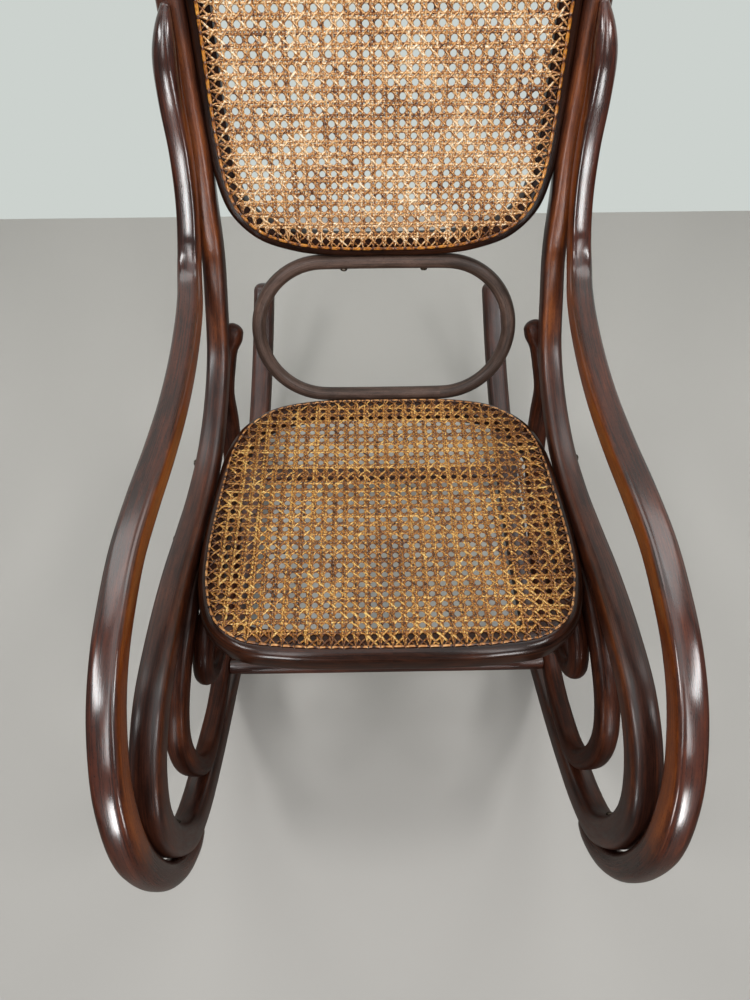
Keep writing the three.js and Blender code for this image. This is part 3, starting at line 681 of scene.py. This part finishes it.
    # near the frame a pair draws together into its hole, and nothing runs beside the edge
    place = add("ShaderNodeVectorMath", "ADD", [position, given["Shift"]])
    rim = add("GeometryNodeProximity", {"target_element": "EDGES"}, {
        "Geometry": given["Geometry"], "Sample Position": place})
    outward = add("ShaderNodeVectorMath", "SUBTRACT", [rim.outputs["Position"], place])
    toRim = add("ShaderNodeVectorMath", "NORMALIZE", [outward])
    facing = add("ShaderNodeVectorMath", "DOT_PRODUCT", [toRim, heading])
    beside = add("ShaderNodeMath", "MULTIPLY", [
        add("ShaderNodeMath", "LESS_THAN", [
            add("ShaderNodeMath", "ABSOLUTE", [facing.outputs["Value"]]), given["Beside"]]),
        add("ShaderNodeMath", "LESS_THAN", [rim.outputs["Distance"], given["Clear Edge"]])])
    apart = add("ShaderNodeMapRange", {"interpolation_type": "SMOOTHSTEP"}, {
        "Value": rim.outputs["Distance"], "From Max": given["Clear Edge"], "To Min": 0.85, "To Max": 0.0})
    pinch = add("ShaderNodeMath", "MULTIPLY", [
        add("ShaderNodeMath", "MULTIPLY", [pairSide, apart]),
        add("ShaderNodeMath", "MULTIPLY", [given["Pair Spacing"], -0.25])])
    # hand-laid strands wander a little
    tone = add("GeometryNodeInputNamedAttribute", inputs={"Name": "strandTone"})
    track = add("ShaderNodeCombineXYZ", inputs=[
        add("ShaderNodeMath", "MULTIPLY", [along, 28.0]),
        add("ShaderNodeMath", "MULTIPLY", [tone, 90.0])])
    drift = add("ShaderNodeTexNoise", inputs={"Vector": track, "Scale": 1.0, "Detail": 1.0})
    sideways = add("ShaderNodeMath", "ADD", [
        add("ShaderNodeMath", "MULTIPLY", [add("ShaderNodeMath", "SUBTRACT", [drift, 0.5]), given["Wander"]]),
        pinch])
    drawn = add("ShaderNodeVectorMath", "SCALE", {
        0: crossways, "Scale": add("ShaderNodeMath", "MULTIPLY", [sideways, 2.0])})
    shifted = add("ShaderNodeVectorMath", "ADD", [given["Shift"], drawn])
    offset = add("ShaderNodeVectorMath", "ADD", [shifted, add("ShaderNodeCombineXYZ", inputs={2: lift})])
    stored = add("GeometryNodeStoreNamedAttribute", {"data_type": "FLOAT_VECTOR"}, {
        "Geometry": real, "Name": "strandPlace",
        "Value": add("ShaderNodeCombineXYZ", inputs=[along, tone, apart])})
    flagged = add("GeometryNodeStoreNamedAttribute", inputs={
        "Geometry": stored, "Name": "besideEdge", "Value": beside})
    marked = add("GeometryNodeInputNamedAttribute", inputs={"Name": "besideEdge"})
    laid = add("GeometryNodeSetPosition", inputs={0: flagged, "Offset": offset})
    # cut to the panel's outline, which is the base mesh
    over = add("ShaderNodeVectorMath", "MULTIPLY", [add("GeometryNodeInputPosition"), (1.0, 1.0, 0.0)])
    above = add("ShaderNodeVectorMath", "ADD", [over, (0.0, 0.0, 0.1)])
    ray = add("GeometryNodeRaycast", inputs={
        "Target Geometry": given["Geometry"], "Source Position": above, "Ray Direction": (0.0, 0.0, -1.0),
        "Ray Length": 0.2})
    missed = add("FunctionNodeBooleanMath", "NOT", [ray.outputs["Is Hit"]])
    dropped = add("FunctionNodeBooleanMath", "OR", [
        missed, add("ShaderNodeMath", "GREATER_THAN", [marked, 0.5])])
    cut = add("GeometryNodeDeleteGeometry", inputs={0: laid, "Selection": dropped})
    curves = add("GeometryNodeMeshToCurve", inputs=[cut])
    upright = add("GeometryNodeSetCurveNormal", {"mode": "Z_UP"}, [curves])
    strandPlace = add("GeometryNodeInputNamedAttribute", {"data_type": "FLOAT_VECTOR"}, {
        "Name": "strandPlace"})
    nearRim = add("ShaderNodeSeparateXYZ", inputs=[strandPlace]).outputs["Z"]
    # strands are split 0.89 to 1.11 times the stated width, and are drawn thinner near the rim
    spread = add("ShaderNodeMath", "MULTIPLY_ADD", [
        nearRim, given["Thinning"], add("ShaderNodeMath", "MULTIPLY_ADD", [tone, 0.22, 0.89])])
    ribbon = strandAlong(add, upright, 4, given["Width"], given["Thickness"], {
        "Scale": spread, "Fill Caps": True})
    finishTree(add, ribbon, material)
    return tree, names


# A closed line in a panel's own plane, as one face or as its edges alone.
def outlineMesh(name, line, filled):
    count = len(line)
    mesh = bpy.data.meshes.new(name)
    edges = [] if filled else [(i, (i + 1) % count) for i in range(count)]
    mesh.from_pydata([(x * mm, y * mm, 0) for x, y in line], edges, [tuple(range(count))] if filled else [])
    return mesh


# Two families of pairs run along and across, two of single strands run diagonally.
pairs = {"Lines": 78, "Per Line": 2, "Spacing": pitch, "Pair Spacing": 0.0035, "Step": pitch / 6,
         "Pair Lift": 0.00045}
singles = {"Lines": 92, "Per Line": 1, "Spacing": pitch / math.sqrt(2), "Pair Spacing": 0.0,
           "Step": pitch * math.sqrt(2) / 6, "Pair Lift": 0.0}
weave = {
    "long": {**pairs, "Direction": math.pi / 2},
    "cross": {**pairs, "Direction": 0.0},
    "diagonalA": {**singles, "Direction": math.pi / 4, "Cross Lift": -0.0007},
    "diagonalB": {**singles, "Direction": -math.pi / 4, "Cross Lift": 0.0007}}
panels = {
    "seat": {
        "frame": seat, "cane": seatStrand, "binder": seatBinder,
        "weave": {"Shift": (0.0, 0.1895, 0.0), "Half Size": (0.2, 0.175, 0.0), "Sag": 0.003},
        "binding": {"Width": 0.0026, "Thickness": 0.0012, "Dip": 0.0013, "Tie Width": 0.0015,
                    "Tie Reach": 0.0036}},
    "back": {
        "frame": back, "cane": backStrand, "binder": backBinder,
        "weave": {"Shift": (0.0, 0.23, 0.0), "Half Size": (0.185, 0.22, 0.0), "Sag": 0.0},
        "binding": {"Width": 0.0037, "Thickness": 0.0013, "Dip": 0.0002, "Tie Width": 0.0012,
                    "Tie Reach": 0.0046}}}
for panelName, panel in panels.items():
    strands, strandNames = strandTree(panel["cane"])
    part = panel["frame"]
    cutLine = insetLine(part["line"], part["binder"] + 0.5)
    for seed, (family, rule) in enumerate(weave.items()):
        sizes = {**rule, **panel["weave"], "Seed": seed * 7 + len(panelName)}
        base = outlineMesh(f"{panelName}_outline", cutLine, filled=True)
        mesh = bakeTree(f"{panelName}_cane_{family}", base, strands, strandNames, sizes, part["plane"])
        print(f"{panelName}_cane_{family}: {sum(len(p.vertices) - 2 for p in mesh.polygons)} triangles")
        addPiece(f"{panelName}_cane_{family}", mesh, None, "cane", f"{panelName}_cane")
print("cane woven")

# The binding cane laid over the strands' ends, and the ties that hold it down.
bindingSizes = {
    "Width": 0.0026, "Thickness": 0.0012, "Height": 0.0022, "Tie Spacing": pitch, "Tie Width": 0.0015,
    "Tie Thickness": 0.0007, "Tie Reach": 0.0036, "Dip": 0.0013, "Seed": 5}


def bindingTree(material):
    tree, add, given, names = newTree("binding cane and ties", bindingSizes)
    route = add("GeometryNodeMeshToCurve", inputs=[given["Geometry"]])
    length = add("GeometryNodeCurveLength", inputs=[route])
    ties = add("ShaderNodeMath", "ROUND", [add("ShaderNodeMath", "DIVIDE", [length, given["Tie Spacing"]])])
    spacing = add("ShaderNodeMath", "DIVIDE", [length, ties])
    fine = add("GeometryNodeResampleCurve", inputs={
        0: route, "Count": add("ShaderNodeMath", "MULTIPLY", [ties, 10.0])})
    upright = add("GeometryNodeSetCurveNormal", {"mode": "Z_UP"}, [fine])
    run = add("GeometryNodeSplineParameter").outputs["Length"]
    turn = add("ShaderNodeMath", "COSINE", [
        add("ShaderNodeMath", "MULTIPLY", [add("ShaderNodeMath", "DIVIDE", [run, spacing]), 2 * math.pi])])
    # 1 under a tie, 0 between two
    pulled = add("ShaderNodeMath", "POWER", [add("ShaderNodeMath", "MULTIPLY_ADD", [turn, 0.5, 0.5]), 6.0])
    wobble = add("ShaderNodeTexNoise", inputs={"Scale": 60.0, "Detail": 1.0})
    # the strip wavers by a quarter of a millimetre and sinks under each tie
    height = add("ShaderNodeMath", "SUBTRACT", [
        add("ShaderNodeMath", "ADD", [
            given["Height"], add("ShaderNodeMath", "MULTIPLY_ADD", [wobble, 0.0005, -0.00025])]),
        add("ShaderNodeMath", "MULTIPLY", [pulled, given["Dip"]])])
    laid = add("GeometryNodeSetPosition", inputs={
        0: upright, "Offset": add("ShaderNodeCombineXYZ", inputs={2: height})})
    # the pull, kept as the strip's third place, also darkens the binding there as painted shade under each
    # tie
    named = add("GeometryNodeStoreNamedAttribute", {"data_type": "FLOAT_VECTOR"}, {
        "Geometry": laid, "Name": "strandPlace",
        "Value": add("ShaderNodeCombineXYZ", inputs=[run, 0.5, pulled])})
    narrowed = add("ShaderNodeMath", "MULTIPLY_ADD", [pulled, -0.3, 1.0])
    strip = strandAlong(add, named, 8, given["Width"], given["Thickness"], {"Scale": narrowed})
    # one tie: a short strand arched over the binding
    tieRun = add("GeometryNodeMeshLine", inputs={
        "Count": 7,
        "Start Location": add("ShaderNodeCombineXYZ", inputs={
            1: add("ShaderNodeMath", "MULTIPLY", [given["Tie Reach"], -0.5])}),
        "Offset": add("ShaderNodeCombineXYZ", inputs={
            1: add("ShaderNodeMath", "DIVIDE", [given["Tie Reach"], 6.0])})})
    across = add("ShaderNodeSeparateXYZ", inputs=[add("GeometryNodeInputPosition")]).outputs["Y"]
    share = add("ShaderNodeMath", "DIVIDE", [
        add("ShaderNodeMath", "MULTIPLY", [across, 2.0]), given["Tie Reach"]])
    crown = add("ShaderNodeMath", "ADD", [
        given["Height"],
        add("ShaderNodeMath", "SUBTRACT", [
            add("ShaderNodeMath", "MULTIPLY", [given["Thickness"], 0.75]), given["Dip"]])])
    arch = add("ShaderNodeMath", "MULTIPLY", [
        add("ShaderNodeMath", "SUBTRACT", [
            1.0, add("ShaderNodeMath", "POWER", [add("ShaderNodeMath", "ABSOLUTE", [share]), 2.6])]), crown])
    arched = add("GeometryNodeSetPosition", inputs={
        0: tieRun, "Offset": add("ShaderNodeCombineXYZ", inputs={2: arch})})
    tieCurve = add("GeometryNodeMeshToCurve", inputs=[arched])
    tieUp = add("GeometryNodeSetCurveNormal", {"mode": "Z_UP"}, [tieCurve])
    tie = strandAlong(add, tieUp, 4, given["Tie Width"], given["Tie Thickness"], {"Fill Caps": True})
    places = add("GeometryNodeResampleCurve", inputs={0: route, "Count": ties})
    heading = add("FunctionNodeAlignRotationToVector", {"axis": "X", "pivot_axis": "Z"}, {
        "Vector": add("GeometryNodeInputTangent")})
    slant = add("FunctionNodeRandomValue", inputs={2: -0.3, 3: 0.3, "Seed": given["Seed"]})
    spin = add("FunctionNodeAxisAngleToRotation", inputs={"Axis": (0.0, 0.0, 1.0), "Angle": slant.outputs[1]})
    turned = add("FunctionNodeRotateRotation", {"rotation_space": "LOCAL"}, {
        "Rotation": heading, "Rotate By": spin})
    chance = add("FunctionNodeRandomValue", inputs={"Seed": given["Seed"]})
    # each tie carries 1 as its third place, which darkens it fully as painted shade
    tinted = add("GeometryNodeStoreNamedAttribute", {"data_type": "FLOAT_VECTOR"}, {
        "Geometry": places, "Name": "strandPlace",
        "Value": add("ShaderNodeCombineXYZ", inputs=[run, chance.outputs[1], 1.0])})
    stitched = add("GeometryNodeInstanceOnPoints", inputs={
        "Points": tinted, "Instance": tie, "Rotation": turned})
    both = add("GeometryNodeJoinGeometry", inputs=[[strip, stitched]])
    finishTree(add, both, material)
    return tree, names


for panelName, panel in panels.items():
    tree, names = bindingTree(panel["binder"])
    part = panel["frame"]
    line = insetLine(part["line"], part["binder"])
    base = outlineMesh(f"{panelName}_binding_line", line, filled=False)
    mesh = bakeTree(f"{panelName}_binding_strip", base, tree, names, panel["binding"], part["plane"])
    addPiece(f"{panelName}_binding_strip", mesh, None, "binder", f"{panelName}_cane_binding")
print("binding laid and tied")


# Round-headed wood screws, blued steel gone dark with age.
def screwMaterial():
    material, add = newMaterial("aged steel screw")
    body = add("ShaderNodeTexCoord").outputs["Object"]
    grime = add("ShaderNodeTexNoise", inputs={"Vector": body, "Scale": 420.0, "Detail": 3.0})
    tones = [(0.35, "#2b211b"), (0.55, "#5b5248"), (0.75, "#8a8278")]
    colour = add("ShaderNodeValToRGB", {"stops": tones}, [grime])
    rough = add("ShaderNodeMapRange", inputs={"Value": grime, "To Min": 0.55, "To Max": 0.28})
    shader = add("ShaderNodeBsdfPrincipled", inputs={
        "Base Color": colour, "Metallic": 1.0, "Roughness": rough})
    add("ShaderNodeOutputMaterial", inputs={"Surface": shader})
    return material


screwSizes = {
    "Head Width": 0.009, "Head Height": 0.0026, "Slot Width": 0.0012, "Slot Depth": 0.0012, "Seed": 11}


def screwTree(material):
    tree, add, given, names = newTree("slotted screw heads", screwSizes)
    ball = add("GeometryNodeMeshUVSphere", inputs={"Segments": 24, "Rings": 12})
    half = add("ShaderNodeMath", "MULTIPLY", [given["Head Width"], 0.5])
    dome = add("GeometryNodeTransform", inputs={
        0: ball, "Scale": add("ShaderNodeCombineXYZ", inputs=[half, half, given["Head Height"]])})
    block = add("GeometryNodeMeshCube", inputs={
        "Size": add("ShaderNodeCombineXYZ", inputs=[
            given["Slot Width"], add("ShaderNodeMath", "MULTIPLY", [given["Head Width"], 1.2]),
            add("ShaderNodeMath", "MULTIPLY", [given["Slot Depth"], 2.0])])})
    slotAt = add("GeometryNodeTransform", inputs={
        0: block, "Translation": add("ShaderNodeCombineXYZ", inputs={2: given["Head Height"]})})
    head = add("GeometryNodeMeshBoolean", inputs={"Mesh 1": dome, "Mesh 2": slotAt})
    facing = add("GeometryNodeInputNamedAttribute", {"data_type": "FLOAT_VECTOR"}, {"Name": "facing"})
    outward = add("FunctionNodeAlignRotationToVector", {"axis": "Z"}, {"Vector": facing})
    anyTurn = add("FunctionNodeRandomValue", inputs={3: math.pi, "Seed": given["Seed"]})
    spin = add("FunctionNodeAxisAngleToRotation", inputs={
        "Axis": (0.0, 0.0, 1.0), "Angle": anyTurn.outputs[1]})
    turned = add("FunctionNodeRotateRotation", {"rotation_space": "LOCAL"}, {
        "Rotation": outward, "Rotate By": spin})
    heads = add("GeometryNodeInstanceOnPoints", inputs={
        "Points": given["Geometry"], "Instance": head, "Rotation": turned})
    finishTree(add, heads, material)
    return tree, names


def onHoop(x, y, z):
    spot = hoopPlane @ Vector((x * mm, y * mm, z * mm))
    return [v / mm - o for v, o in zip(spot, routeToChair)]


# Each screw's foot on the rod and the way it faces, for the right side.
screwPlaces = {
    "seat_screw_front": ([250.2, 330, 411], [1, 0, 0]),
    "seat_screw_rear": ([240.6, 440, 399.5], [1, 0, 0]),
    "arm_front_screw": ([242.6, 34, 300], [0, 1, 0]),
    "arm_top_screw": (onBack(209.5, 210, -21.5), [0, math.cos(lean), -math.sin(lean)]),
    "scroll_runner_screw": ([249, 99.5, 136.5], [0, -0.68, -0.73]),
    "scroll_rear_screw": ([211.8, 578.8, 401.6], [0, 0.5, -0.87]),
    "curl_screw": ([208, 219, 298], [-0.6, -0.35, -0.72]),
    "front_stretcher_screw": ([258.5, 250, 126], [1, 0, 0]),
    "rear_stretcher_screw": ([rearPlace[0] + 19.3, 624, rearPlace[2]], [1, 0, 0]),
    "back_screw": (onBack(223, 300, -8), [1, 0, 0]),
    "bow_screw": (onBack(223, 365, -8), [1, 0, 0]),
    "hoop_foot_screw": (onHoop(50, 0, -9), list(hoopPlane.to_3x3() @ Vector((0, 0, -1)))),
    "hoop_head_screw": (onHoop(50, rise.length - 9, 0), list(hoopPlane.to_3x3() @ Vector((0, -1, 0))))}
spots, facings, screwNodes = [], [], []
for sideName, side in bothSides:
    for screwName, (foot, out) in screwPlaces.items():
        spots.append(tuple((Vector((side * foot[0], foot[1], foot[2])) + routeToChair) * mm))
        facings.extend((side * out[0], out[1], out[2]))
        screwNodes.append(f"{sideName}_{screwName}")
base = bpy.data.meshes.new("screw_places")
base.from_pydata(spots, [], [])
base.attributes.new("facing", "FLOAT_VECTOR", "POINT").data.foreach_set("vector", facings)
tree, names = screwTree(screwMaterial())
mesh = bakeTree("screw_heads", base, tree, names, screwSizes, Matrix.Identity(4))
addPiece("screw_heads", mesh, None, "screw", *screwNodes)
print(f"screws: {sum(len(p.vertices) - 2 for p in mesh.polygons)} triangles")


# The room: a floor, a wall, lamps, a world and a camera.
def stagePlane(name, corners, material):
    mesh = bpy.data.meshes.new(name)
    mesh.from_pydata(corners, [], [(0, 1, 2, 3)])
    mesh.materials.append(material)
    plane = bpy.data.objects.new(name, mesh)
    bpy.context.scene.collection.objects.link(plane)


# A floor that the gloss mirrors darker than it is seen, so that the rods' undersides stay dark.
def floorMaterial(name, colour, mirrored):
    material, add = newMaterial(name)
    ray = add("ShaderNodeLightPath")
    tone = add("ShaderNodeMix", {"data_type": "RGBA"}, {
        0: ray.outputs["Is Glossy Ray"], 6: linear(colour), 7: linear(mirrored)})
    shader = add("ShaderNodeBsdfPrincipled", inputs={"Base Color": tone.outputs[2], "Roughness": 0.6})
    add("ShaderNodeOutputMaterial", inputs={"Surface": shader})
    return material


# A backdrop that the lamps needn't reach: seen, and mirrored in the gloss, as its own colour,
# and clear from its back, so that the chair can be looked at from behind.
def backdropMaterial(name, colour):
    material, add = newMaterial(name)
    ray = add("ShaderNodeLightPath")
    seen = add("ShaderNodeMath", "MAXIMUM", [ray.outputs["Is Camera Ray"], ray.outputs["Is Glossy Ray"]])
    plain = add("ShaderNodeBsdfDiffuse", inputs={"Color": linear(colour)})
    glow = add("ShaderNodeEmission", inputs={"Color": linear(colour)})
    mixed = add("ShaderNodeMixShader", inputs=[seen, plain, glow])
    back = add("ShaderNodeNewGeometry").outputs["Backfacing"]
    clear = add("ShaderNodeBsdfTransparent")
    oneWay = add("ShaderNodeMixShader", inputs=[back, mixed, clear])
    add("ShaderNodeOutputMaterial", inputs={"Surface": oneWay})
    return material


reach, wallAt, top = 8, 0.9, 5  # metres from the middle, behind the chair, and up
stagePlane("floor", [(-reach, -reach, 0), (reach, -reach, 0), (reach, reach, 0), (-reach, reach, 0)],
           floorMaterial("pale floor", "#b9b6b1", "#5c5650"))
stagePlane("wall", [(-reach, wallAt, 0), (reach, wallAt, 0), (reach, wallAt, top), (-reach, wallAt, top)],
           backdropMaterial("pale wall", "#ccd2ce"))


def softLamp(name, place, target, size, watts, spread=180):
    lamp = bpy.data.lights.new(name, "AREA")
    lamp.shape, lamp.size, lamp.size_y, lamp.energy = "RECTANGLE", size[0], size[1], watts
    lamp.spread = math.radians(spread)
    holder = bpy.data.objects.new(name, lamp)
    bpy.context.scene.collection.objects.link(holder)
    holder.location = place
    holder.visible_camera = False
    holder.rotation_euler = (Vector(target) - Vector(place)).to_track_quat("-Z", "Y").to_euler()


# name, place, target, size, watts
softLamp("key", (-1.35, -0.86, 2.45), (-0.1, -0.1, 0.45), (0.9, 0.35), 17)
softLamp("fill", (1.4, -0.86, 2.4), (0.1, -0.1, 0.45), (0.9, 0.35), 15)
softLamp("ceiling", (0.1, -0.2, 3.0), (0.1, -0.1, 0), (1.8, 1.8), 12)
softLamp("left rear", (-0.95, 0.7, 2.3), (-0.24, -0.2, 0.45), (1.0, 1.2), 9)
softLamp("right rear", (0.95, 0.7, 2.3), (0.24, -0.2, 0.45), (1.0, 1.2), 9)
softLamp("left front", (-0.79, -2.6, 0.65), (-0.23, 0.18, 0.65), (0.26, 0.8), 1.6, spread=60)
softLamp("right front", (0.9, -2.6, 0.65), (0.23, 0.18, 0.65), (0.26, 0.8), 1.6, spread=60)
softLamp("left high", (-0.6, -1.5, 2.45), (-0.23, 0.15, 0.57), (0.26, 1.9), 1.6, spread=60)
softLamp("right high", (0.7, -1.5, 2.45), (0.23, 0.15, 0.57), (0.26, 1.9), 1.6, spread=60)

# The world lights the chair weakly all round, and past the wall it is seen in the wall's own pale tone.
world = bpy.data.worlds.new("studio")
bpy.context.scene.world = world
world.use_nodes = True
background = world.node_tree.nodes["Background"]
background.inputs[0].default_value = linear("#f2f4f5")
seen = addNode(world.node_tree, "ShaderNodeLightPath")
strength = addNode(world.node_tree, "ShaderNodeMapRange", inputs={
    0: seen.outputs["Is Camera Ray"], 3: 0.2, 4: 0.66})
world.node_tree.links.new(strength.outputs[0], background.inputs[1])

camera = bpy.data.cameras.new("view")
camera.sensor_width, camera.lens = 36, 32.64  # 680 px focal length on 750 px
camera.sensor_fit = "HORIZONTAL"
viewer = bpy.data.objects.new("view", camera)
bpy.context.scene.collection.objects.link(viewer)
viewer.location = (-0.0216, -0.46225, 1.1374)
viewer.rotation_euler = (math.radians(27.4), 0, math.radians(-0.93))
bpy.context.scene.camera = viewer
bpy.context.scene.view_settings.view_transform = "Standard"
